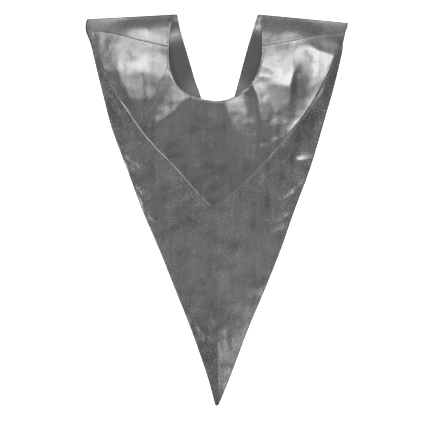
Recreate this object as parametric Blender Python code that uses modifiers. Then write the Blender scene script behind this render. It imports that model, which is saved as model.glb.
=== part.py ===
"""Choir stole laid flat on a table, front side up.

Three pieces of doubled satin: a long front panel that ends in a point, a short
overlay over its top, and a back band that goes over both shoulders.
Metres, +Z up, +Y toward the neck, tip toward -Y, underside at z = 0.
"""
import bmesh
import bpy
import numpy as np

MM = 0.001

# Driving sizes in millimetres
CLOTH = 1.2            # wall of two plies of satin
SEAM_GAP = 0.3         # room between pieces where they meet
LAY_GAP = 0.75         # room between the overlay and the panel under it
FOLD_RADIUS = 2.4      # middle of the wall, round each shoulder fold
SUPPORT_IN = 14.0      # the front stays level this far past the back band
SUPPORT_OUT = 50.0     # and lies on the table from here on
SEAM_FADE = 45.0       # the front sinks from the shoulder seam over this length
FOLD_FADE = 30.0       # folds start this far from the shoulder seam

# Mesh steps
ACROSS_BACK = 14
ACROSS_PANEL = 28
ALONG_HALF_PANEL = 32
ALONG_HALF_OVERLAY = 26
STEPS_STRAP = 4
STEPS_FOLD = 6
STEPS_BACK = 14

# Outlines in plan, a row per point: x_mm, y_mm
PANEL_LEFT = (
    (-277.5, 379.4), (-268.5, 356.2), (-262.2, 332.6), (-245.1, 257.5), (-223.6, 171.7),
    (-191.4, 85.8), (-159.2, 0.0), (-122.8, -85.8), (-88.4, -171.7), (-54.1, -257.5),
    (-24.0, -343.4), (-11.2, -386.3), (-2.8, -417.5), (0.6, -420.0),
)
PANEL_RIGHT = (
    (274.5, 379.4), (269.1, 356.2), (266.5, 332.6), (249.4, 257.5), (225.8, 171.7),
    (200.0, 85.8), (167.8, 0.0), (137.8, -85.8), (103.4, -171.7), (67.0, -257.5),
    (34.8, -343.4), (17.6, -386.3), (4.4, -417.5), (0.6, -420.0),
)
HEM_LEFT = (
    (-280.1, 382.0), (-269.8, 356.2), (-261.0, 334.8), (-240.6, 292.9), (-211.4, 241.2),
    (-186.9, 206.0), (-162.5, 168.9), (-132.8, 134.3), (-98.3, 99.8), (-56.4, 53.0),
    (-29.4, 23.6), (-2.8, -3.0),
)
HEM_RIGHT = (
    (276.8, 382.0), (270.6, 356.2), (262.7, 334.8), (242.1, 292.9), (214.8, 241.2),
    (192.1, 206.0), (163.7, 168.9), (133.3, 134.3), (102.8, 99.8), (57.3, 53.0),
    (25.5, 23.6), (-2.8, -3.0),
)
NECK_LEFT = (
    (-101.9, 349.8), (-101.1, 317.6), (-92.5, 280.3), (-77.3, 259.7), (-54.7, 244.6),
    (-31.1, 237.3), (-3.2, 232.6),
)
NECK_RIGHT = (
    (97.6, 351.9), (96.8, 328.3), (90.3, 300.4), (78.3, 274.7), (59.0, 255.4),
    (38.6, 242.5), (18.2, 235.0), (-3.2, 232.6),
)
SEAM_LEFT = (
    (-101.9, 349.8), (-164.2, 363.5), (-202.8, 374.3), (-227.3, 379.8), (-247.9, 383.3),
    (-280.1, 382.0),
)
SEAM_RIGHT = (
    (97.6, 351.9), (157.7, 361.8), (189.9, 369.1), (223.4, 375.1), (252.2, 380.3),
    (276.8, 382.0),
)
# Back band: shoulder folds, strap edges from fold to seam, and the hidden V
FOLD_LEFT = ((-84.1, 420.0), (-277.9, 409.2))
FOLD_RIGHT = ((88.0, 420.0), (281.4, 401.3))
STRAP_IN_LEFT = ((-84.1, 420.0), (-94.6, 403.4), (-101.1, 377.7), (-101.9, 349.8))
STRAP_IN_RIGHT = ((88.0, 420.0), (94.6, 409.0), (96.8, 386.3), (97.6, 351.9))
STRAP_OUT_LEFT = ((-277.9, 409.2), (-280.9, 394.9), (-280.1, 382.0))
STRAP_OUT_RIGHT = ((281.4, 401.3), (280.8, 392.7), (276.8, 382.0))
BACK_IN_LEFT = (
    (-84.1, 420.0), (-76.8, 384.1), (-61.8, 332.6), (-46.1, 279.0), (-32.2, 238.2),
    (1.1, 113.7),
)
BACK_IN_RIGHT = (
    (88.0, 420.0), (75.3, 377.7), (62.0, 332.6), (47.9, 279.0), (37.6, 242.5),
    (1.1, 113.7),
)
BACK_OUT_LEFT = ((-277.9, 409.2), (1.1, -111.6))
BACK_OUT_RIGHT = ((281.4, 401.3), (1.1, -111.6))

# Largest folds: x_start, y_start, x_end, y_end, half_width, height (mm)
FOLDS = (
    (-97.6, 285.0, -157.7, 150.2, 20.0, 3.0),
    (65.5, 240.0, 106.2, 160.0, 20.0, 2.8),
    (166.3, 305.0, 179.2, 197.4, 23.0, 2.6),
    (-224.3, 335.0, -202.8, 266.0, 20.0, 2.2),
    (-66.0, -40.0, -44.0, -193.0, 24.0, 2.0),
    (63.3, -20.0, 41.8, -171.7, 26.0, 2.2),
    (3.2, -219.0, 1.5, -385.0, 16.0, 2.8),
    (-142.7, -26.0, -104.0, -112.0, 16.0, 2.2),
    (205.0, 111.6, 149.0, 98.7, 15.0, 2.0),
    (176.0, 49.4, 119.0, 21.5, 15.0, 2.2),
)

# Colours: red, green, blue, roughness
SATIN_PANEL = (0.150, 0.150, 0.152, 0.36)
SATIN_OVERLAY = (0.172, 0.172, 0.174, 0.34)
SATIN_BACK = (0.128, 0.128, 0.130, 0.38)


def smooth_path(rows, count):
    """count + 1 points, even along a Catmull-Rom curve through the rows."""
    knots = np.array(rows, dtype=float)
    first = 2.0 * knots[0] - knots[1]
    last = 2.0 * knots[-1] - knots[-2]
    knots = np.vstack((first, knots, last))
    t = np.linspace(0.0, 1.0, 41)[:, None]
    pieces = []
    for a, b, c, d in zip(knots[:-3], knots[1:-2], knots[2:-1], knots[3:]):
        part = b + 0.5 * t * (c - a)
        part = part + 0.5 * t ** 2 * (2.0 * a - 5.0 * b + 4.0 * c - d)
        part = part + 0.5 * t ** 3 * (3.0 * b - a - 3.0 * c + d)
        pieces.append(part)
    line = np.vstack(pieces)
    steps = np.linalg.norm(np.diff(line, axis=0), axis=1)
    length = np.concatenate(([0.0], np.cumsum(steps)))
    even = np.linspace(0.0, length[-1], count + 1)
    x = np.interp(even, length, line[:, 0])
    y = np.interp(even, length, line[:, 1])
    return np.stack((x, y), axis=1)


def ease(value):
    """0 below 0, 1 above 1, smooth between: t^2 (3 - 2t)."""
    t = np.clip(value, 0.0, 1.0)
    return t * t * (3.0 - 2.0 * t)


def distance_to_line(points, start, end):
    """Distance of each point from the piece of line between start and end."""
    start = np.array(start, dtype=float)
    along = np.array(end, dtype=float) - start
    share = (points - start) @ along / (along @ along)
    nearest = start + np.clip(share, 0.0, 1.0)[..., None] * along
    return np.linalg.norm(points - nearest, axis=-1)


def distance_to_seams(points):
    """Distance of each point from the nearer shoulder seam."""
    found = np.full(points.shape[:-1], 1.0e6)
    for seam in (SEAM_LEFT, SEAM_RIGHT):
        for start, end in zip(seam[:-1], seam[1:]):
            found = np.minimum(found, distance_to_line(points, start, end))
    return found


def depth_in_back(points):
    """How far each point is inside the outer V of the back band."""
    depth = np.full(points.shape[:-1], 1.0e6)
    for (top, tip), side in ((BACK_OUT_LEFT, 1.0), (BACK_OUT_RIGHT, -1.0)):
        along = np.array(tip) - np.array(top)
        normal = side * np.array((-along[1], along[0])) / np.linalg.norm(along)
        depth = np.minimum(depth, (points - np.array(top)) @ normal)
    return depth


def front_height(points):
    """Middle of the panel's wall above the table, in mm, for points in plan."""
    lift = (depth_in_back(points) + SUPPORT_OUT) / (SUPPORT_OUT - SUPPORT_IN)
    rest = (CLOTH + SEAM_GAP) * ease(lift)
    from_seam = distance_to_seams(points)
    seam_height = 2.0 * FOLD_RADIUS - 2.0 * (CLOTH + SEAM_GAP)
    rise = seam_height * (1.0 - ease(from_seam / SEAM_FADE))
    waves = np.zeros(points.shape[:-1])
    for x_start, y_start, x_end, y_end, half_width, height in FOLDS:
        away = distance_to_line(points, (x_start, y_start), (x_end, y_end))
        waves += height * np.exp(-(away / half_width) ** 2)
    return 0.5 * CLOTH + rest + rise + waves * ease(from_seam / FOLD_FADE)


def overlay_height(points):
    """The panel's height moved out by one wall and the room between them."""
    room = SEAM_GAP + (LAY_GAP - SEAM_GAP) * ease(distance_to_seams(points) / FOLD_FADE)
    return front_height(points) + CLOTH + room


def sections_between(seam, inner, outer, across):
    """Straight sections from inner to outer, bowed like the seam at the start."""
    share = np.linspace(0.0, 1.0, across + 1)[None, :, None]
    rows = inner[:, None, :] * (1.0 - share) + outer[:, None, :] * share
    bow = smooth_path(seam, across) - rows[0]
    fade = 1.0 - ease(np.linspace(0.0, 1.0, len(inner)) / 0.3)
    return rows + bow[None, :, :] * fade[:, None, None]


def front_sections(sides, across, along):
    """Sections of a front piece, from the left shoulder seam to the right one."""
    halves = []
    for seam, neck, outer in sides:
        seam_line = np.array(seam) - np.array((0.0, SEAM_GAP))
        neck_line = smooth_path((tuple(seam_line[0]),) + neck[1:], along)
        outer_line = smooth_path((tuple(outer[0]),) + outer[1:], along)
        halves.append(sections_between(seam_line, neck_line, outer_line, across))
    left, right = halves
    return np.concatenate((left, right[-2::-1]), axis=0)


def back_half(fold, strap_in, strap_out, seam, inner, outer):
    """Sections of half the back band: seam, strap, shoulder fold, hidden V."""
    share = np.linspace(0.0, 1.0, ACROSS_BACK + 1)[:, None]
    start = np.array(fold[0])
    end = np.array(fold[1])
    out = np.array((start[1] - end[1], end[0] - start[0]))
    out = out / np.linalg.norm(out)
    out = out * np.sign(out[1])
    inset = FOLD_RADIUS + 0.5 * CLOTH
    centre = start * (1.0 - share) + end * share - inset * out
    low = 0.5 * CLOTH
    top = low + 2.0 * FOLD_RADIUS
    rows = []
    # Strap: from the shoulder seam to the fold
    strap_a = smooth_path(strap_in, STEPS_STRAP)[::-1]
    strap_b = smooth_path(strap_out, STEPS_STRAP)[::-1]
    seam_row = smooth_path(seam, ACROSS_BACK)
    for step in range(STEPS_STRAP):
        part = step / STEPS_STRAP
        straight = strap_a[step] * (1.0 - share) + strap_b[step] * share
        first = strap_a[0] * (1.0 - share) + strap_b[0] * share
        line = straight + (seam_row - first) * (1.0 - part)
        rows.append(np.hstack((line, np.full((ACROSS_BACK + 1, 1), top))))
    # Half turn round the shoulder fold
    for step in range(STEPS_FOLD + 1):
        angle = 0.5 * np.pi - np.pi * step / STEPS_FOLD
        line = centre + FOLD_RADIUS * np.cos(angle) * out
        height = low + FOLD_RADIUS * (1.0 + np.sin(angle))
        rows.append(np.hstack((line, np.full((ACROSS_BACK + 1, 1), height))))
    # Flat V under the front
    in_line = smooth_path(inner, STEPS_BACK)
    out_line = smooth_path(outer, STEPS_BACK)
    for step in range(1, STEPS_BACK + 1):
        line = in_line[step] * (1.0 - share) + out_line[step] * share
        rows.append(np.hstack((line, np.full((ACROSS_BACK + 1, 1), low))))
    return np.array(rows)


def cloth_piece(name, surface, colour, home):
    """A grid laid on the surface points, given its wall by a Solidify."""
    rows = surface.shape[0] - 1
    columns = surface.shape[1] - 1
    bm = bmesh.new()
    bmesh.ops.create_grid(bm, x_segments=columns, y_segments=rows, size=0.5)
    for vert in bm.verts:
        column = round((vert.co.x + 0.5) * columns)
        row = round((vert.co.y + 0.5) * rows)
        vert.co = surface[row, column] * MM
    bmesh.ops.recalc_face_normals(bm, faces=bm.faces)
    mesh = bpy.data.meshes.new(name)
    bm.to_mesh(mesh)
    bm.free()
    piece = bpy.data.objects.new(name, mesh)
    home.objects.link(piece)
    wall = piece.modifiers.new("wall", "SOLIDIFY")
    wall.thickness = CLOTH * MM
    wall.offset = 0.0
    wall.use_even_offset = True
    red, green, blue, roughness = colour
    material = bpy.data.materials.new(name + "_satin")
    material.use_nodes = True
    shader = material.node_tree.nodes["Principled BSDF"]
    shader.inputs["Base Color"].default_value = (red, green, blue, 1.0)
    shader.inputs["Roughness"].default_value = roughness
    shader.inputs["Metallic"].default_value = 0.0
    mesh.materials.append(material)
    return piece


def with_height(plan, height):
    """Plan sections and a height for each of their points."""
    return np.concatenate((plan, height(plan)[..., None]), axis=-1)


for old in list(bpy.data.objects):
    bpy.data.objects.remove(old, do_unlink=True)

stole = bpy.data.collections.new("choir_stole")
bpy.context.scene.collection.children.link(stole)

# Long front panel
panel_sides = ((SEAM_LEFT, NECK_LEFT, PANEL_LEFT), (SEAM_RIGHT, NECK_RIGHT, PANEL_RIGHT))
panel_plan = front_sections(panel_sides, ACROSS_PANEL, ALONG_HALF_PANEL)
cloth_piece("front_panel", with_height(panel_plan, front_height), SATIN_PANEL, stole)

# Short overlay, the panel's surface moved out
hem_sides = ((SEAM_LEFT, NECK_LEFT, HEM_LEFT), (SEAM_RIGHT, NECK_RIGHT, HEM_RIGHT))
hem_plan = front_sections(hem_sides, ACROSS_BACK, ALONG_HALF_OVERLAY)
cloth_piece("front_overlay", with_height(hem_plan, overlay_height), SATIN_OVERLAY, stole)

# Back band over both shoulders
left_half = back_half(
    FOLD_LEFT, STRAP_IN_LEFT, STRAP_OUT_LEFT, SEAM_LEFT, BACK_IN_LEFT, BACK_OUT_LEFT,
)
right_half = back_half(
    FOLD_RIGHT, STRAP_IN_RIGHT, STRAP_OUT_RIGHT, SEAM_RIGHT, BACK_IN_RIGHT, BACK_OUT_RIGHT,
)
cloth_piece("back", np.concatenate((left_half, right_half[-2::-1])), SATIN_BACK, stole)
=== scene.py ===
"""Choir stole in grey satin, laid flat with its front up, seen straight from above."""
import math

import bmesh
import bpy
import numpy as np
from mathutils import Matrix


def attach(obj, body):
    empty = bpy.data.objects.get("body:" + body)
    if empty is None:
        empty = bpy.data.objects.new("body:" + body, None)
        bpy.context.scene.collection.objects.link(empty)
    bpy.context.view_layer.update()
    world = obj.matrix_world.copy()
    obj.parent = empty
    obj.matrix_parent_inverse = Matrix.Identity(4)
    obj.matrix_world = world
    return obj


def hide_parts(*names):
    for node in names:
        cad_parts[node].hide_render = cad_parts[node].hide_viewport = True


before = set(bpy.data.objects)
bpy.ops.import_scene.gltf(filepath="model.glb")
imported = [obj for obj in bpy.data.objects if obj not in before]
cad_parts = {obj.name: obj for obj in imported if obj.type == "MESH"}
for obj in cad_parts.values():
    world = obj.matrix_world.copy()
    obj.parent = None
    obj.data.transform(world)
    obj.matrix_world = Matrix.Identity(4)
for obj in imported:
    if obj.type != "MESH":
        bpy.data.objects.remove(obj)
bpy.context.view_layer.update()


# Camera and table
# The stole lies on a plain pale table and is looked at from straight above, with
# the neck at the top of the picture. 432 pixels cover 927 mm of the table.
PHOTO_PX = 432
MM_PER_PX = 2.146
VIEW_X, VIEW_Y, VIEW_Z = -0.0011, -0.0129, 3.0
SENSOR = 36.0
TABLE_HALF, TABLE_Z = 6.0, -0.0004

eye = bpy.data.cameras.new("table_camera")
eye.sensor_width = SENSOR
eye.lens = SENSOR * VIEW_Z / (PHOTO_PX * MM_PER_PX * 0.001)
eye.clip_end = 50.0
camera = bpy.data.objects.new("table_camera", eye)
camera.location = (VIEW_X, VIEW_Y, VIEW_Z)
bpy.context.collection.objects.link(camera)
bpy.context.scene.camera = camera
bpy.context.scene.view_settings.view_transform = "Standard"


class Wire:
    """A shader socket with arithmetic: an expression on wires adds its Math nodes."""

    def __init__(self, tree, socket):
        self.tree = tree
        self.socket = socket

    def math(self, operation, *others):
        """A Math node on this wire and the others."""
        return self.tree.node("ShaderNodeMath", {"operation": operation}, self, *others)

    def __add__(self, other):
        return self.math("ADD", other)

    def __sub__(self, other):
        return self.math("SUBTRACT", other)

    def __rsub__(self, other):
        return self.tree.node("ShaderNodeMath", {"operation": "SUBTRACT"}, other, self)

    def __mul__(self, other):
        return self.math("MULTIPLY", other)

    __radd__ = __add__
    __rmul__ = __mul__


class Cloth:
    """A material whose nodes all come from one method."""

    def __init__(self, name):
        self.material = bpy.data.materials.new(name)
        self.material.use_nodes = True
        self.nodes = self.material.node_tree.nodes
        self.links = self.material.node_tree.links
        self.shader = self.nodes["Principled BSDF"]

    def node(self, kind, settings, *values, out=0, **named):
        """Adds a node: settings first, then values or wires for its sockets."""
        made = self.nodes.new(kind)
        for key, value in settings.items():
            setattr(made, key, value)
        pairs = list(enumerate(values))
        pairs += [(key.replace("_", " "), value) for key, value in named.items()]
        for key, value in pairs:
            self.feed(made.inputs[key], value)
        return Wire(self, made.outputs[out])

    def feed(self, socket, value):
        """Links a wire to a socket, or sets its value."""
        if isinstance(value, Wire):
            self.links.new(value.socket, socket)
        else:
            socket.default_value = value

    def surface(self, **sockets):
        """Feeds sockets of the surface's own shader."""
        for key, value in sockets.items():
            self.feed(self.shader.inputs[key.replace("_", " ")], value)


table = Cloth("pale_table")
table.surface(Base_Color=(0.93, 0.93, 0.93, 1.0), Roughness=0.9)
table.surface(Emission_Color=(1.0, 1.0, 1.0, 1.0), Emission_Strength=0.8)
top = bpy.data.meshes.new("table_top")
corners = [(TABLE_HALF * x, TABLE_HALF * y, TABLE_Z)
           for x, y in ((-1, -1), (1, -1), (1, 1), (-1, 1))]
top.from_pydata(corners, [], [(0, 1, 2, 3)])
top.materials.append(table.material)
table_top = bpy.data.objects.new("table_top", top)
bpy.context.collection.objects.link(table_top)


# Studio light
# A pale room that is dim overhead, and a ceiling panel behind the camera that gives flat
# cloth its sheen. Soft boxes light both shoulders and the point, and those at the sides
# and beyond the neck stand where only rolled hems and the slopes of folds mirror them.

# share of the way up, grey
ROOM_TONES = ((0.35, 0.5), (0.95, 0.2))

room = bpy.data.worlds.new("studio")
room.use_nodes = True
bpy.context.scene.world = room
nodes = room.node_tree.nodes
links = room.node_tree.links
place = nodes.new("ShaderNodeTexCoord")
parts = nodes.new("ShaderNodeSeparateXYZ")
shade = nodes.new("ShaderNodeValToRGB")
links.new(place.outputs["Generated"], parts.inputs[0])
links.new(parts.outputs["Z"], shade.inputs[0])
links.new(shade.outputs[0], nodes["Background"].inputs["Color"])
for stop, (height, grey) in zip(shade.color_ramp.elements, ROOM_TONES):
    stop.position = height
    stop.color = (grey, grey, grey, 1.0)

# name, shape, x, y, z, width, depth (m), power (W), x and y of the spot it aims at
SOFT_BOXES = (
    ("ceiling_panel", "RECTANGLE", 0.0, -0.56, 3.7, 1.15, 1.75, 8.4, 0.0, -0.03),
    ("shoulder_box_left", "ELLIPSE", -0.223, 0.511, 1.0, 0.27, 0.17, 2.4, -0.168, 0.34),
    ("shoulder_box_right", "ELLIPSE", 0.206, 0.441, 1.0, 0.30, 0.20, 3.7, 0.160, 0.32),
    ("edge_box_left", "RECTANGLE", -0.768, -0.30, 1.0, 0.16, 0.555, 4.85, -0.13, 0.14),
    ("edge_box_right", "RECTANGLE", 0.66, -0.39, 1.0, 0.16, 0.32, 1.4, 0.07, 0.06),
    ("fold_box", "RECTANGLE", 0.0, 0.88, 1.0, 0.30, 0.95, 0.95, 0.0, 0.40),
    ("point_box", "ELLIPSE", 0.241, -0.430, 1.0, 0.16, 0.24, 0.9, 0.04, -0.31),
)
for name, shape, x, y, z, width, depth, power, aim_x, aim_y in SOFT_BOXES:
    lamp = bpy.data.lights.new(name, "AREA")
    lamp.shape = shape
    lamp.size = width
    lamp.size_y = depth
    lamp.energy = power
    box = bpy.data.objects.new(name, lamp)
    box.location = (x, y, z)
    down = math.atan2(math.hypot(aim_x - x, aim_y - y), z)
    turn = math.atan2(aim_y - y, aim_x - x)
    box.rotation_euler = (0.0, -down, turn)
    bpy.context.collection.objects.link(box)


# Long front panel
# The body of the stole: a long V of two plies of satin, seamed right sides together,
# turned out through a gap, pressed, and held flat by fine stitches close inside its edges.
CLOTH = 1.2                            # thickness of two plies, mm as all here
SEAM_GAP = 0.3                         # air between layers at a seam
LAY_GAP = 0.75                         # air between layers away from it
SEAM_PART = 0.05                       # front and strap each stop this far from the seam
FOLD_RADIUS = 2.4                      # of the shoulder folds that the front rises to
SUPPORT_IN, SUPPORT_OUT = 14.0, 50.0   # level to here past the back's edge, then flat
BACK_CORNER = 14.0                     # rounding of the back's V at its point
SEAM_LEVEL, SEAM_FADE = 40.0, 170.0    # level by a shoulder seam, then sinks over this
KNIFE, SEAM_KNIFE = 3.2, 1.6           # an edge thins over this, at a seam over less
EDGE_STITCH = 4.6                      # line of stitching inside the edge
EDGE_STITCH_PITCH = 2.5
BOW_FADE = 0.3                         # share of a side over which the seam's bow fades
FLOOR, FLOOR_SOFT, FLOOR_DROP = 1.45, 0.8, 0.2   # no fold dips under what lies below
CREASES = 48
CREASE_SLOPE = 0.0060

# Sections near a seam and steps near an edge, so that the rounded rims are smooth
START_U = (0.0, 0.0003, 0.0008, 0.0018, 0.0035, 0.006)
EDGE_MM = (0.0, 0.08, 0.3, 0.7, 1.3, 2.2, 3.4, 4.6, 5.8)

# Outlines in plan: x_mm, y_mm
PANEL_LEFT = (
    (-277.5, 379.4), (-268.5, 356.2), (-262.2, 332.6), (-245.1, 257.5), (-223.6, 171.7),
    (-191.4, 85.8), (-159.2, 0.0), (-122.8, -85.8), (-88.4, -171.7), (-54.1, -257.5),
    (-24.0, -343.4), (-11.2, -386.3), (-2.8, -417.5), (0.6, -420.0),
)
PANEL_RIGHT = (
    (274.5, 379.4), (269.1, 356.2), (266.5, 332.6), (249.4, 257.5), (225.8, 171.7),
    (200.0, 85.8), (167.8, 0.0), (137.8, -85.8), (103.4, -171.7), (67.0, -257.5),
    (34.8, -343.4), (17.6, -386.3), (4.4, -417.5), (0.6, -420.0),
)
NECK_LEFT = (
    (-101.9, 349.8), (-101.1, 317.6), (-92.5, 280.3), (-77.3, 259.7), (-54.7, 244.6),
    (-31.1, 237.3), (-3.2, 232.6),
)
NECK_RIGHT = (
    (97.6, 351.9), (96.8, 328.3), (90.3, 300.4), (78.3, 274.7), (59.0, 255.4),
    (38.6, 242.5), (18.2, 235.0), (-3.2, 232.6),
)
SEAM_LEFT = (
    (-101.9, 349.8), (-164.2, 363.5), (-202.8, 374.3), (-227.3, 379.8), (-247.9, 383.3),
    (-280.1, 382.0),
)
SEAM_RIGHT = (
    (97.6, 351.9), (157.7, 361.8), (189.9, 369.1), (223.4, 375.1), (252.2, 380.3),
    (276.8, 382.0),
)
BACK_OUT_LEFT = ((-277.9, 409.2), (1.1, -111.6))
BACK_OUT_RIGHT = ((281.4, 401.3), (1.1, -111.6))

# Folds and creases. Widths are to each side of the line, looking from start to end,
# at its middle; flare is how much wider it gets from start to end, crest how far its
# top is rounded, and a negative height is a trough.
# x_start, y_start, x_end, y_end, left_width, right_width, flare, crest, height
FOLDS = (
    # right shoulder seam: the strap rises to it
    (104.0, 353.0, 196.0, 369.0, 28.0, 70.0, 1.0, 7.0, 1.3),
    # left neck corner: the shoulder's side of the trough, then the chest's side
    (-98.0, 316.0, -158.0, 206.0, 12.0, 60.0, 1.8, 4.0, 3.3),
    (-42.0, 255.0, -130.0, 176.0, 75.0, 42.0, 0.8, 5.0, 6.6),
    # right neck corner: the chest's side, then the shoulder's side
    (-4.0, 268.0, 40.0, 176.0, 40.0, 60.0, 0.9, 5.0, 5.3),
    (70.0, 290.0, 103.0, 180.0, 34.0, 12.0, 1.0, 4.0, 3.3),
    # left shoulder: roll beside the outer edge, small dips in the bright part
    (-209.0, 306.0, -188.0, 246.0, 60.0, 24.0, 1.1, 9.0, 2.8),
    (-270.0, 394.0, -246.0, 348.0, 40.0, 40.0, 1.0, 8.0, 0.8),
    (-190.0, 308.0, -136.0, 300.0, 120.0, 44.0, 1.0, 16.0, 2.8),
    (-250.0, 312.0, -198.0, 208.0, 20.0, 30.0, 1.0, 3.0, 2.0),
    (-186.0, 342.0, -176.0, 334.0, 9.0, 9.0, 1.0, 8.0, -0.7),
    (-206.0, 262.0, -192.0, 238.0, 12.0, 14.0, 1.0, 8.0, 0.7),
    (-238.0, 300.0, -226.0, 296.0, 8.0, 8.0, 1.0, 6.0, 0.8),
    # right shoulder: where the bright part ends, the wedge, the dark part at the seam,
    # and the dips by the neck
    (84.0, 297.0, 158.0, 268.0, 120.0, 40.0, 1.0, 12.0, 3.9),
    (165.0, 302.0, 148.0, 222.0, 20.0, 80.0, 2.4, 3.0, 2.8),
    (202.0, 345.0, 258.0, 327.0, 14.0, 40.0, 1.0, 5.0, 1.8),
    (262.0, 348.0, 234.0, 282.0, 12.0, 45.0, 1.0, 3.0, 2.8),
    (196.0, 338.0, 208.0, 328.0, 7.0, 7.0, 1.0, 5.0, -0.5),
    (100.0, 310.0, 120.0, 300.0, 6.0, 7.0, 1.0, 5.0, -0.5),
    (96.0, 288.0, 114.0, 286.0, 5.0, 6.0, 1.0, 4.0, 0.3),
    # right hem: it stands a little off the panel
    (242.0, 272.0, 142.0, 132.0, 10.0, 14.0, 1.2, 2.5, 2.3),
    (153.0, 150.0, 22.0, 16.0, 15.0, 110.0, 1.0, 1.5, 2.3),
    # chest: one soft dent low on the right
    (104.0, 122.0, 78.0, 96.0, 12.0, 12.0, 1.0, 8.0, 0.8),
    # body of the panel: slow waves along its length
    (-66.0, -40.0, -44.0, -193.0, 22.0, 22.0, 1.0, 18.0, 1.8),
    (63.3, -20.0, 41.8, -171.7, 24.0, 24.0, 1.0, 18.0, 2.0),
    (2.0, -30.0, 8.0, -140.0, 14.0, 14.0, 1.0, 12.0, 0.9),
    (-22.0, -96.0, -12.0, -200.0, 9.0, 9.0, 1.0, 8.0, -0.8),
    # sharp ridge up from the point, its right side wide
    (-50.0, -240.0, -6.0, -284.0, 40.0, 30.0, 1.0, 1.5, 3.6),
    (2.0, -262.0, 1.0, -398.0, 56.0, 30.0, 0.85, 1.2, 6.2),
    (-16.0, -214.0, -8.0, -236.0, 6.0, 6.0, 1.0, 4.0, 1.2),
    (-41.0, -242.0, -21.0, -274.0, 6.0, 8.0, 1.0, 4.0, 1.6),
    (22.0, -336.0, 36.0, -344.0, 6.0, 6.0, 1.0, 4.0, -0.7),
    (12.0, -358.0, 20.0, -372.0, 5.0, 5.0, 1.0, 4.0, -0.7),
    (32.0, -268.0, 40.0, -292.0, 9.0, 9.0, 1.0, 6.0, 0.9),
    # left edge: soft dents and pulls
    (-196.0, 104.0, -172.0, 88.0, 6.0, 6.0, 0.8, 4.0, 1.8),
    (-184.0, 62.0, -166.0, 34.0, 6.0, 7.0, 0.8, 4.0, 2.0),
    (-161.0, 40.0, -147.0, -24.0, 12.0, 7.0, 0.9, 2.5, 2.8),
    (-150.0, -18.0, -134.0, -34.0, 5.0, 7.0, 1.0, 4.0, 1.9),
    (-118.0, -22.0, -90.0, -58.0, 8.0, 8.0, 1.4, 6.0, 1.6),
    (-134.0, -48.0, -118.0, -66.0, 5.0, 6.0, 1.0, 4.0, 1.4),
    (-106.0, -170.0, -92.0, -186.0, 6.0, 7.0, 1.0, 4.0, 1.4),
    (-134.0, -62.0, -74.0, -205.0, 10.0, 8.0, 1.0, 6.0, 1.0),
    # right edge: pulls
    (209.0, 110.0, 178.0, 103.0, 5.0, 6.0, 0.7, 3.0, 1.8),
    (192.0, 56.0, 146.0, 18.0, 6.0, 7.0, 0.8, 4.0, 1.7),
    (170.0, -2.0, 120.0, -34.0, 6.0, 8.0, 0.8, 4.0, 1.7),
    (150.0, -22.0, 108.0, -52.0, 5.0, 6.0, 1.0, 3.0, 0.8),
    (108.0, -156.0, 94.0, -170.0, 5.0, 6.0, 1.0, 3.0, 1.3),
)


def smooth_path(rows, shares):
    """Points at the given shares of a Catmull-Rom curve's length through the rows:
    p(t) = b + t(c - a)/2 + t^2(2a - 5b + 4c - d)/2 + t^3(3b - a - 3c + d)/2."""
    knots = np.array(rows, dtype=float)
    knots = np.vstack((2 * knots[0] - knots[1], knots, 2 * knots[-1] - knots[-2]))
    a, b, c, d = (knots[i:len(knots) - 3 + i, None, :] for i in range(4))
    t = np.linspace(0.0, 1.0, 41)[None, :, None]
    line = b + 0.5 * (t * (c - a) + t ** 2 * (2 * a - 5 * b + 4 * c - d)
                      + t ** 3 * (3 * b - a - 3 * c + d))
    line = line.reshape(-1, 2)
    length = np.concatenate(([0.0], np.cumsum(np.hypot(*np.diff(line, axis=0).T))))
    at = np.asarray(shares) * length[-1]
    return np.stack([np.interp(at, length, line[:, i]) for i in (0, 1)], axis=1)


def ease(value):
    """0 below 0, 1 above 1, and t^3 (10 - 15t + 6t^2) between."""
    t = np.clip(value, 0.0, 1.0)
    return t ** 3 * (10.0 - 15.0 * t + 6.0 * t * t)


def line_distance(plan, start, end, soft=0.0):
    """Distance of each point from a piece of line, its side from 1 on the left to -1
    on the right (the sine of the angle it is seen at), and its share of the length:
    clipped to 0..1, or if soft, (log(1 + e^(kt)) - log(1 + e^(k(t - 1)))) / k, k = soft."""
    along = np.array(end) - np.array(start)
    away = plan - np.array(start)
    share = away @ along / (along @ along)
    if soft:
        share = np.logaddexp(0.0, soft * share) - np.logaddexp(0.0, soft * (share - 1.0))
        share = share / soft
    share = np.clip(share, 0.0, 1.0)
    distance = np.linalg.norm(away - share[..., None] * along, axis=-1)
    side = (along[0] * away[..., 1] - along[1] * away[..., 0]) / np.hypot(*along)
    return distance, side / np.maximum(distance, 1e-6), share


def seam_distance(plan):
    """Distance of each point from the nearer shoulder seam."""
    pieces = [p for seam in (SEAM_LEFT, SEAM_RIGHT) for p in zip(seam[:-1], seam[1:])]
    return np.min([line_distance(plan, *p)[0] for p in pieces], axis=0)


def seam_depth(plan):
    """How deep a point lies in its piece, counted from a shoulder seam:
    0.6 + 1.2 times its distance, because the seam holds the cloth's edge."""
    return 0.6 + 1.2 * seam_distance(plan)


def depth_in_back(plan):
    """Depth inside the back's outer V: a smooth least of the depths past both edges,
    -k log(exp(-a/k) + exp(-b/k)) with k = BACK_CORNER."""
    depths = []
    for (top, tip), way in ((BACK_OUT_LEFT, 1.0), (BACK_OUT_RIGHT, -1.0)):
        along = np.array(tip) - np.array(top)
        normal = way * np.array((-along[1], along[0])) / np.hypot(*along)
        depths.append((plan - np.array(top)) @ normal)
    return -BACK_CORNER * np.logaddexp(-depths[0] / BACK_CORNER, -depths[1] / BACK_CORNER)


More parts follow.
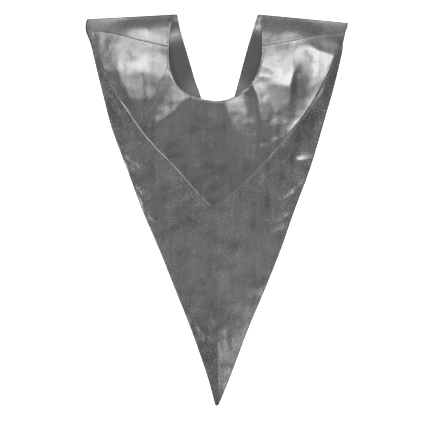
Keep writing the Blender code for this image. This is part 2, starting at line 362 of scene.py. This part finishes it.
def fold_relief(plan):
    """Sum over the folds of height * exp(-(sqrt(distance^2 + crest^2) - crest) / width),
    with width = ((left + right) + (left - right) side) / 2 * flare^(share - 1/2). The
    plan is first bent a few mm by two slow waves each way, so no fold is ruled straight."""
    x, y = plan[..., 0], plan[..., 1]
    bend_x = 3.0 * np.sin(y / 23.0 + 0.7) + 2.0 * np.sin((x + y) / 11.0)
    bend_y = 3.0 * np.sin(x / 21.0 + 1.9) + 2.0 * np.sin((x - y) / 12.0)
    bent = plan + 0.6 * np.stack((bend_x, bend_y), axis=-1)
    relief = np.zeros(plan.shape[:-1])
    for x0, y0, x1, y1, left, right, flare, crest, height in FOLDS:
        away, side, share = line_distance(bent, (x0, y0), (x1, y1), soft=10.0)
        width = 0.5 * (left + right + (left - right) * side) * flare ** (share - 0.5)
        relief += height * np.exp(-(np.sqrt(away ** 2 + crest ** 2) - crest) / width)
    return relief


def rumple(plan):
    """Shallow handling creases: a sum of waves slope * length / 2 pi * sin(phase),
    each with its own length, heading and phase; a third of them run up and down. They
    are 1.4 times as high low on the cloth, and half as high on the shoulders."""
    dice = np.random.default_rng(5)
    relief = np.zeros(plan.shape[:-1])
    for number in range(CREASES):
        length = 13.0 * 5.0 ** dice.random()
        heading = dice.random() * math.pi
        if number % 3 == 0:
            heading = dice.normal() * 0.12
            length = 14.0 + 22.0 * dice.random()
        along = plan @ np.array((math.cos(heading), math.sin(heading)))
        phase = 2.0 * math.pi * (along / length + dice.random())
        relief += CREASE_SLOPE * length / (2.0 * math.pi) * np.sin(phase)
    shoulders = ease((plan[..., 1] - 130.0) / 110.0)
    return relief * (1.4 - 0.9 * shoulders)


def front_height(plan):
    """Middle of the panel's wall, in mm: it rests on the back band, sinks to the table
    beyond it, stands level by the shoulder seams, and carries the folds, the creases
    and the seam's pucker, (0.04 + 0.03 sin(x / 9)) exp(-seam / 6) sin(x / 1.3 + ...).
    What would dip under the floor is eased off it: with d the height over the floor,
    it lies (d + sqrt(d^2 + FLOOR_SOFT)) / 2 - FLOOR_DROP over it."""
    lift = ease((depth_in_back(plan) + SUPPORT_OUT) / (SUPPORT_OUT - SUPPORT_IN))
    seam = seam_distance(plan)
    near = 1.0 - ease((seam - SEAM_LEVEL) / SEAM_FADE)
    rise = (2 * FOLD_RADIUS - 2 * (CLOTH + SEAM_GAP)) * near
    phase = plan[..., 0] / 1.3 + 2.0 * np.sin(plan[..., 0] / 17.0)
    pucker = (0.04 + 0.03 * np.sin(plan[..., 0] / 9.0)) * np.exp(-seam / 6.0) * np.sin(phase)
    raised = fold_relief(plan) + rumple(plan) + pucker
    level = (CLOTH + SEAM_GAP) * lift + rise + raised
    floor = FLOOR * lift
    soft = 0.5 * (level - floor + np.sqrt((level - floor) ** 2 + FLOOR_SOFT))
    return 0.5 * CLOTH + floor + soft - FLOOR_DROP


def overlay_height(plan):
    """Middle of the overlay's wall: on the panel, with SEAM_GAP of air under it at a
    shoulder seam and LAY_GAP from 30 mm off it."""
    room_under = SEAM_GAP + (LAY_GAP - SEAM_GAP) * ease(seam_distance(plan) / 30.0)
    return front_height(plan) + CLOTH + room_under


def front_plan(outer_left, outer_right, across, along):
    """Sections of a front piece from the left shoulder seam to the right one:
    P(u, v) = neck(u)(1 - v) + outer(u) v, bowed like the seam where u is small. Also
    gives each point's distance from the piece's edge, and its depth from a seam."""
    u = np.concatenate((START_U, np.linspace(0.012, 1.0, along)))
    v = np.linspace(0.0, 1.0, 201)
    halves = []
    edges = []
    sides = ((SEAM_LEFT, NECK_LEFT, outer_left), (SEAM_RIGHT, NECK_RIGHT, outer_right))
    for seam, neck, outer in sides:
        line = smooth_path(np.array(seam) - (0.0, SEAM_PART), v)
        inner = smooth_path(np.vstack((line[:1], neck[1:])), u)
        rim = smooth_path(outer, u)
        length = np.hypot(*(rim - inner).T)[:, None]
        at = edge_steps(length, across)
        share = (at / length)[..., None]
        plan = inner[:, None] * (1.0 - share) + rim[:, None] * share
        bow = line - (inner[0] * (1.0 - v[:, None]) + rim[0] * v[:, None])
        bow = np.stack([np.interp(share[..., 0], v, bow[:, i]) for i in (0, 1)], axis=-1)
        plan = plan + bow * (1.0 - ease(u / BOW_FADE))[:, None, None]
        halves.append(plan)
        edges.append(np.minimum(at, length - at))
    plan = np.concatenate((halves[0], halves[1][-2::-1]))
    edge = np.concatenate((edges[0], edges[1][-2::-1]))
    return plan, edge, seam_depth(plan)


def edge_steps(length, across):
    """Distances along each section: close steps at both edges, even between."""
    first = np.array(EDGE_MM)[None, :] * np.ones_like(length)
    even = np.linspace(0.0, 1.0, across - 2 * len(EDGE_MM) + 3)[1:-1]
    middle = EDGE_MM[-1] + (length - 2.0 * EDGE_MM[-1]) * even[None, :]
    return np.concatenate((first, middle, length - first[:, ::-1]), axis=1)


def satin_shell(name, rows, edge, seam, satin, inside=0.0):
    """A closed wall on a grid of middle points in mm. Its half thickness is
    (CLOTH / 2) (1 - (1 - near)^1.25), near the lesser of edge / KNIFE and
    seam / SEAM_KNIFE, so each edge is pressed to a soft knife."""
    count, across = rows.shape[0], rows.shape[1]
    along, over = np.gradient(rows, axis=0), np.gradient(rows, axis=1)
    normal = np.cross(over, along)
    normal /= np.maximum(np.linalg.norm(normal, axis=-1, keepdims=True), 1e-9)
    near = np.clip(np.minimum(edge / KNIFE, seam / SEAM_KNIFE), 0.0, 1.0)
    half = (0.5 * CLOTH * (1.0 - (1.0 - near) ** 1.25))[..., None]
    upper = rows + normal * half
    lower = rows - normal * half
    index = np.arange(count * across).reshape(count, across)
    inner = np.full((count, across), -1)
    inner[1:-1, 1:-1] = np.arange((count - 2) * (across - 2)).reshape(count - 2, across - 2)
    below = np.where(inner < 0, index, inner + count * across)
    points = np.concatenate((upper.reshape(-1, 3), lower[1:-1, 1:-1].reshape(-1, 3)))
    rim = np.zeros((count, across), dtype=bool)
    rim[0] = rim[-1] = True
    rim[:, 0] = rim[:, -1] = True
    points[:count * across][rim.ravel()] = rows[rim]

    def quads(grid):
        """The grid's cells, each by its four corners."""
        return np.stack((grid[:-1, :-1], grid[1:, :-1], grid[1:, 1:], grid[:-1, 1:]), axis=-1)

    faces = np.concatenate((quads(index)[..., ::-1], quads(below))).reshape(-1, 4)
    mesh = bpy.data.meshes.new(name)
    mesh.vertices.add(len(points))
    mesh.vertices.foreach_set("co", (points * 0.001).astype(np.float32).ravel())
    mesh.loops.add(faces.size)
    mesh.loops.foreach_set("vertex_index", faces.astype(np.int32).ravel())
    mesh.polygons.add(len(faces))
    mesh.polygons.foreach_set("loop_start", np.arange(0, faces.size, 4, dtype=np.int32))
    mesh.polygons.foreach_set("use_smooth", np.ones(len(faces), dtype=bool))
    mesh.update(calc_edges=True)
    step = np.linalg.norm(np.diff(rows, axis=0, prepend=rows[:1]), axis=-1)
    facts = {"edge_mm": edge, "seam_mm": seam, "run_mm": np.cumsum(step, axis=0)}
    # the dull inner face past the fold, which also carries its painted shade
    facts["inner_face"] = np.broadcast_to(inside, (count, across))
    for key, value in facts.items():
        layer = mesh.attributes.new(key, "FLOAT", "POINT")
        layer.data.foreach_set("value", np.append(value, value[1:-1, 1:-1]).astype(np.float32))
    mesh.materials.append(satin)
    piece = bpy.data.objects.new(name, mesh)
    bpy.context.collection.objects.link(piece)
    return piece


# Grain of the satin, in waves per metre: across, along and up, or every way
FLOATS = (95.0, 7.0, 95.0)
YARNS = (1500.0, 420.0, 1500.0)
SLUBS, TONES, TWILL = 330.0, 24.0, 420.0


def satin(name, base, roughness, grain=1.0, edge_highlight_gain=0.9):
    """Satin: long floats of yarn run down the cloth (stretched noise), slubs and a fine
    twill step cross them, and handling leaves slow changes of tone. Folded edges and the
    rims at the seams get a painted highlight, and the cloth's inner face is the dull side,
    darkened by painted shade. The grey is base times (1 + yarn and tone)(1 + painted edge
    and seam highlight and stitched)(1 - 0.35 painted shade of the inner face)."""
    cloth = Cloth(name)
    where = cloth.node("ShaderNodeTexCoord", {}, out=3)
    long = cloth.node("ShaderNodeMapping", {}, where, Scale=FLOATS)
    fine = cloth.node("ShaderNodeMapping", {}, where, Scale=YARNS)
    floats = cloth.node("ShaderNodeTexNoise", {}, long, Detail=2.0, Scale=1.0) - 0.5
    yarn = cloth.node("ShaderNodeTexNoise", {}, fine, Detail=1.0, Scale=1.0) - 0.5
    slub = cloth.node("ShaderNodeTexNoise", {}, where, Scale=SLUBS, Detail=1.5) - 0.5
    tone = cloth.node("ShaderNodeTexNoise", {}, where, Scale=TONES, Detail=3.0) - 0.5
    twill = cloth.node(
        "ShaderNodeTexWave", {"wave_type": "BANDS", "bands_direction": "DIAGONAL"},
        where, Scale=TWILL, Distortion=0.6, Detail=1.0)
    edge = cloth.node("ShaderNodeAttribute", {"attribute_name": "edge_mm"}, out=2)
    # dull inner face, also the mask of painted shade in the colour
    inner = cloth.node("ShaderNodeAttribute", {"attribute_name": "inner_face"}, out=2)
    joined = cloth.node("ShaderNodeAttribute", {"attribute_name": "seam_mm"}, out=2)
    # painted highlight on the rims beside the shoulder seams, where a pressed rim would catch
    # light
    pressed = cloth.node(
        "ShaderNodeMapRange", {"interpolation_type": "SMOOTHSTEP"},
        joined, 0.6, 3.0, 1.0, 0.0)
    # painted highlight along the folded edges, standing in for the light a rolled hem catches
    edge_highlight = cloth.node(
        "ShaderNodeMapRange", {"interpolation_type": "SMOOTHSTEP"},
        edge, 0.3, 2.2, 1.0, 0.0)
    run = cloth.node("ShaderNodeAttribute", {"attribute_name": "run_mm"}, out=2)
    thread = run * (2.0 / EDGE_STITCH_PITCH)
    thread = cloth.node("ShaderNodeMath", {"operation": "PINGPONG"}, thread, 1.0)
    thread = cloth.node(
        "ShaderNodeMapRange", {"interpolation_type": "SMOOTHSTEP"}, thread, 0.12, 0.3)
    beside = cloth.node("ShaderNodeMath", {"operation": "ABSOLUTE"}, edge - EDGE_STITCH)
    line = cloth.node(
        "ShaderNodeMapRange", {"interpolation_type": "SMOOTHSTEP"},
        beside, 0.22, 0.45, 1.0, 0.0)
    stitch = line * thread
    light = 1.0 + floats * 0.6 + tone * 1.2 + (yarn * 0.8 + slub * 1.2) * grain
    # the edge and seam terms are painted highlights, and the inner face term is painted shade
    light = light * (1.0 + edge_highlight * edge_highlight_gain + pressed * 0.9 + stitch * 0.35) * (1.0 - inner * 0.35)
    grey = cloth.node("ShaderNodeVectorMath", {"operation": "SCALE"}, base, Scale=light)
    height = (yarn * 0.6 + slub * 2.0 + twill * 0.25) * grain - line * 1.2 + stitch * 2.2
    bump = cloth.node("ShaderNodeBump", {}, Height=height, Strength=0.35, Distance=0.00008)
    rough = roughness + floats * 0.05 + tone * 0.2 + slub * 0.10 + inner * 0.50
    cloth.surface(Base_Color=grey, Roughness=rough, Normal=bump, Specular_IOR_Level=0.9)
    return cloth.material


panel_satin = satin("panel_satin", (0.060, 0.060, 0.0605), roughness=0.25, grain=2.1)
panel_plan, panel_edge, panel_seam = front_plan(
    PANEL_LEFT, PANEL_RIGHT, across=122, along=180)
panel_points = np.concatenate((panel_plan, front_height(panel_plan)[..., None]), axis=-1)
long_panel = satin_shell("long_panel", panel_points, panel_edge, panel_seam, panel_satin)
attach(long_panel, "root")
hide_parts("front_panel")


# Short overlay
# A smaller V of the same doubled satin over the panel's top, caught with it in the
# neck edge and in both shoulder seams, and free along its hem.
HEM_LEFT = (
    (-280.1, 382.0), (-269.8, 356.2), (-261.0, 334.8), (-240.6, 292.9), (-211.4, 241.2),
    (-186.9, 206.0), (-162.5, 168.9), (-132.8, 134.3), (-98.3, 99.8), (-56.4, 53.0),
    (-29.4, 23.6), (-2.8, -3.0),
)
HEM_RIGHT = (
    (276.8, 382.0), (270.6, 356.2), (262.7, 334.8), (242.1, 292.9), (214.8, 241.2),
    (192.1, 206.0), (163.7, 168.9), (133.3, 134.3), (102.8, 99.8), (57.3, 53.0),
    (25.5, 23.6), (-2.8, -3.0),
)
HEM_DROOP = 0.38                       # the free hem hangs this much lower
DROOP_FROM, DROOP_OVER = 60.0, 150.0   # from this far off the shoulder seam

# the overlay's folded hem gets a stronger painted highlight
overlay_satin = satin(
    "overlay_satin", (0.042, 0.042, 0.0425), roughness=0.25, grain=0.9, edge_highlight_gain=3.0)
overlay_plan, overlay_edge, overlay_seam = front_plan(
    HEM_LEFT, HEM_RIGHT, across=116, along=180)
droop = HEM_DROOP * (1.0 - np.clip(overlay_edge / KNIFE, 0.0, 1.0))
droop = droop * ease((overlay_seam - DROOP_FROM) / DROOP_OVER)
overlay_z = overlay_height(overlay_plan) - droop
overlay_points = np.concatenate((overlay_plan, overlay_z[..., None]), axis=-1)
short_overlay = satin_shell(
    "short_overlay", overlay_points, overlay_edge, overlay_seam, overlay_satin)
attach(short_overlay, "root")
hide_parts("front_overlay")


# Back band
# One V-shaped band of doubled satin. It lies under the front, turns over both
# shoulders in a soft fold, and ends on top in the shoulder seams.
FOLD_LEFT = ((-84.1, 420.0), (-277.9, 409.2))
FOLD_RIGHT = ((88.0, 420.0), (281.4, 401.3))
STRAP_IN_LEFT = ((-84.1, 420.0), (-94.6, 403.4), (-101.1, 377.7), (-101.9, 349.8))
STRAP_IN_RIGHT = ((88.0, 420.0), (94.6, 409.0), (96.8, 386.3), (97.6, 351.9))
STRAP_OUT_LEFT = ((-277.9, 409.2), (-280.9, 394.9), (-280.1, 382.0))
STRAP_OUT_RIGHT = ((281.4, 401.3), (280.8, 392.7), (276.8, 382.0))
BACK_IN_LEFT = (
    (-84.1, 420.0), (-76.8, 384.1), (-61.8, 332.6), (-46.1, 279.0), (-32.2, 238.2),
    (1.1, 113.7),
)
BACK_IN_RIGHT = (
    (88.0, 420.0), (75.3, 377.7), (62.0, 332.6), (47.9, 279.0), (37.6, 242.5),
    (1.1, 113.7),
)
TURN_RADIUS = 2.05                     # of the middle of the wall, round the fold
STRAP_SINK = 2.0 * (FOLD_RADIUS - TURN_RADIUS)
BACK_LOFT, LOFT_FADE = 0.5, 9.0        # off the table, from this far past the fold on

# Points across, and rows from seam to fold, round it, and from it to the point
BACK_ACROSS = 100
STRAP_ROWS, TURN_ROWS, FLAT_ROWS = 41, 22, 90
STRAP_STEPS = 12.0                     # START_U is a larger share of the short strap

# Where the band lies off the table in the neck: x_mm, y_mm, half width, half length, rise
NECK_RISES = (
    (-68.0, 376.0, 13.0, 15.0, 1.7), (-60.0, 346.0, 12.0, 11.0, -0.5),
    (78.0, 398.0, 8.0, 9.0, 1.2), (66.0, 374.0, 10.0, 9.0, 0.8),
)


def back_half(fold, strap_in, strap_out, seam, inner, outer, sink_in, sink_out):
    """Strap from seam to fold, half turn z = r(1 + sin a), out = r cos a, then the
    flat V, each a row of points from the inner edge to the outer one. The strap sinks
    from the fold to the overlay's height by the share 1 - exp(-2.6 (d / sink)^2), d the
    distance from the fold, and sink goes in a slow wave from sink_in to sink_out."""
    start, end = np.array(fold[0]), np.array(fold[1])
    length = np.array([[np.hypot(*(end - start))]])
    v = (edge_steps(length, BACK_ACROSS) / length).T
    out = np.array((start[1] - end[1], end[0] - start[0]))
    out = out / np.hypot(*out) * np.sign(out[1])
    low, top = 0.5 * CLOTH, 0.5 * CLOTH + 2.0 * FOLD_RADIUS
    centre = start * (1.0 - v) + end * v - (TURN_RADIUS + 0.5 * CLOTH) * out

    even = np.linspace(0.11, 1.0, STRAP_ROWS - len(START_U) + 1)[:-1]
    u = np.concatenate((np.array(START_U) * STRAP_STEPS, even))
    edge_in = smooth_path(strap_in[::-1], u)[:, None, :]
    edge_out = smooth_path(strap_out[::-1], u)[:, None, :]
    strap = edge_in * (1.0 - v)[None] + edge_out * v[None]
    line = smooth_path(seam, v[:, 0]) + (0.0, SEAM_PART)
    strap = strap + (line - strap[0])[None] * (1.0 - u)[:, None, None]
    from_fold = np.abs((strap - start) @ out)
    sink = (v * sink_out + (1.0 - v) * sink_in) * (1.0 + 0.18 * np.sin(9.0 * v + 1.0))
    share = 1.0 - np.exp(-2.6 * (from_fold / sink[None, :, 0]) ** 2)
    height = (top - STRAP_SINK) * (1.0 - share) + overlay_height(strap) * share
    strap = np.concatenate((strap, height[..., None]), axis=-1)

    angle = np.linspace(0.5 * np.pi, -0.5 * np.pi, TURN_ROWS)[:, None, None]
    turn = centre[None] + TURN_RADIUS * np.cos(angle) * out
    height = low + TURN_RADIUS * (1.0 + np.sin(angle))
    turn = np.concatenate((turn, np.broadcast_to(height, turn.shape[:2] + (1,))), axis=-1)

    u = np.linspace(0.0, 1.0, FLAT_ROWS)[1:]
    rim_in = smooth_path(inner, u)[:, None, :]
    rim_out = smooth_path(outer, u)[:, None, :]
    flat = rim_in * (1.0 - v)[None] + rim_out * v[None]
    from_fold = np.abs((flat - start) @ out)
    rise = BACK_LOFT
    for x, y, half_width, half_length, height in NECK_RISES:
        off = (flat - (x, y)) / (half_width, half_length)
        rise = rise + height * np.exp(-(off ** 2).sum(axis=-1))
    height = low + rise * ease(from_fold / LOFT_FADE)
    flat = np.concatenate((flat, height[..., None]), axis=-1)
    return np.concatenate((strap, turn, flat))


back_satin = satin("back_satin", (0.058, 0.058, 0.0585), roughness=0.27)
left_back = back_half(FOLD_LEFT, STRAP_IN_LEFT, STRAP_OUT_LEFT, SEAM_LEFT,
                      BACK_IN_LEFT, BACK_OUT_LEFT, sink_in=18.0, sink_out=56.0)
right_back = back_half(FOLD_RIGHT, STRAP_IN_RIGHT, STRAP_OUT_RIGHT, SEAM_RIGHT,
                       BACK_IN_RIGHT, BACK_OUT_RIGHT, sink_in=29.0, sink_out=46.0)
back_points = np.concatenate((left_back, right_back[-2::-1]))
width = np.linalg.norm(back_points[:, -1] - back_points[:, 0], axis=-1)[:, None]
share = np.linalg.norm(back_points - back_points[:, :1], axis=-1) / width
back_edge = np.minimum(share, 1.0 - share) * width
row = np.arange(len(back_points))
from_seam = np.minimum(row, row[::-1])[:, None]
seam_mm = seam_depth(back_points[..., :2])
back_seam = np.where(from_seam < STRAP_ROWS, seam_mm, 99.0)

# Past the fold the dull inner face shows, in rows of the grid, and its colour is darkened
# by painted shade: it starts within 4 rows, has one band on each side that shines again,
# glossier and with a painted highlight, and is half as dull and shaded low in the neck
past_fold = from_seam - (STRAP_ROWS + TURN_ROWS)
shine_row = np.where(row < len(row) // 2, 11.0, 6.0)[:, None]
shine = 0.9 * np.exp(-((past_fold - shine_row) / 4.0) ** 2)
dull_and_shaded = ease((past_fold - 1.0) / 4.0) * (1.0 - shine)
dull_and_shaded = dull_and_shaded * (1.0 - 0.5 * ease((past_fold - 31.0) / 14.0))
back_band = satin_shell("back_band", back_points, back_edge, back_seam, back_satin, dull_and_shaded)
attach(back_band, "root")
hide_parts("back")


# Shoulder seam thread
# The stitches that close each shoulder seam: grey sewing thread, lying in the groove
# between the strap and the front.
STITCH_PITCH = 2.6
STITCH_HALF = 1.1                      # half a stitch's length
THREAD_RADIUS = 0.2
THREAD_SUNK = 0.26                     # its middle under the overlay's top
RINGS, SIDES = 9, 8


def stitches(seam):
    """Points of the stitches along a seam, each a straight tube with rounded ends:
    radius r (1 - t^4)^(1/2), with t from -1 to 1 along it."""
    count = int(np.hypot(*np.diff(np.array(seam), axis=0).T).sum() / STITCH_PITCH)
    middle = smooth_path(seam, (np.arange(count) + 0.5) / count)
    ahead = smooth_path(seam, (np.arange(count) + 0.8) / count) - middle
    ahead /= np.linalg.norm(ahead, axis=1, keepdims=True)
    height = overlay_height(middle) + 0.5 * CLOTH - THREAD_SUNK
    t = np.linspace(-1.0, 1.0, RINGS)[None, :, None]
    turn = np.linspace(0.0, 2.0 * np.pi, SIDES + 1)[None, None, :-1]
    radius = THREAD_RADIUS * np.maximum(1.0 - t ** 4, 0.0) ** 0.5
    flat = middle[:, None, None] + STITCH_HALF * t[..., None] * ahead[:, None, None]
    across = np.stack((-ahead[:, 1], ahead[:, 0]), axis=1)[:, None, None]
    flat = flat + (radius * np.cos(turn))[..., None] * across
    up = height[:, None, None] + radius * np.sin(turn) + 0.0 * t
    return np.concatenate((flat, up[..., None]), axis=-1).reshape(-1, 3)


points = np.concatenate((stitches(SEAM_LEFT), stitches(SEAM_RIGHT)))
first = np.arange(0, len(points), RINGS * SIDES)[:, None, None]
low = first + np.arange(RINGS - 1)[None, :, None] * SIDES
high = low + SIDES
spot = np.arange(SIDES)[None, None, :]
after = (spot + 1) % SIDES
faces = np.stack((low + spot, low + after, high + after, high + spot), axis=-1)
thread_mesh = bpy.data.meshes.new("seam_thread")
thread_mesh.from_pydata((points * 0.001).tolist(), [], faces.reshape(-1, 4).tolist())
thread_edit = bmesh.new()
thread_edit.from_mesh(thread_mesh)
bmesh.ops.remove_doubles(thread_edit, verts=thread_edit.verts, dist=1e-7)
bmesh.ops.recalc_face_normals(thread_edit, faces=thread_edit.faces)
thread_edit.to_mesh(thread_mesh)
thread_edit.free()
thread_mesh.polygons.foreach_set("use_smooth", np.ones(len(thread_mesh.polygons), dtype=bool))
thread = Cloth("sewing_thread")
where = thread.node("ShaderNodeTexCoord", {}, out=3)
ply = thread.node(
    "ShaderNodeTexWave", {"wave_type": "BANDS", "bands_direction": "DIAGONAL"},
    where, Scale=900.0, Distortion=0.4)
lint = thread.node("ShaderNodeTexNoise", {}, where, Scale=500.0) - 0.5
light = 0.85 + ply * 0.3 + lint * 0.5
tint = thread.node(
    "ShaderNodeVectorMath", {"operation": "SCALE"}, (0.10, 0.10, 0.101), Scale=light)
twist = thread.node("ShaderNodeBump", {}, Height=ply, Strength=0.5, Distance=0.00008)
thread.surface(Base_Color=tint, Roughness=0.5 + lint * 0.2, Normal=twist)
thread_mesh.materials.append(thread.material)
seam_thread = bpy.data.objects.new("seam_thread", thread_mesh)
bpy.context.collection.objects.link(seam_thread)
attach(seam_thread, "root")
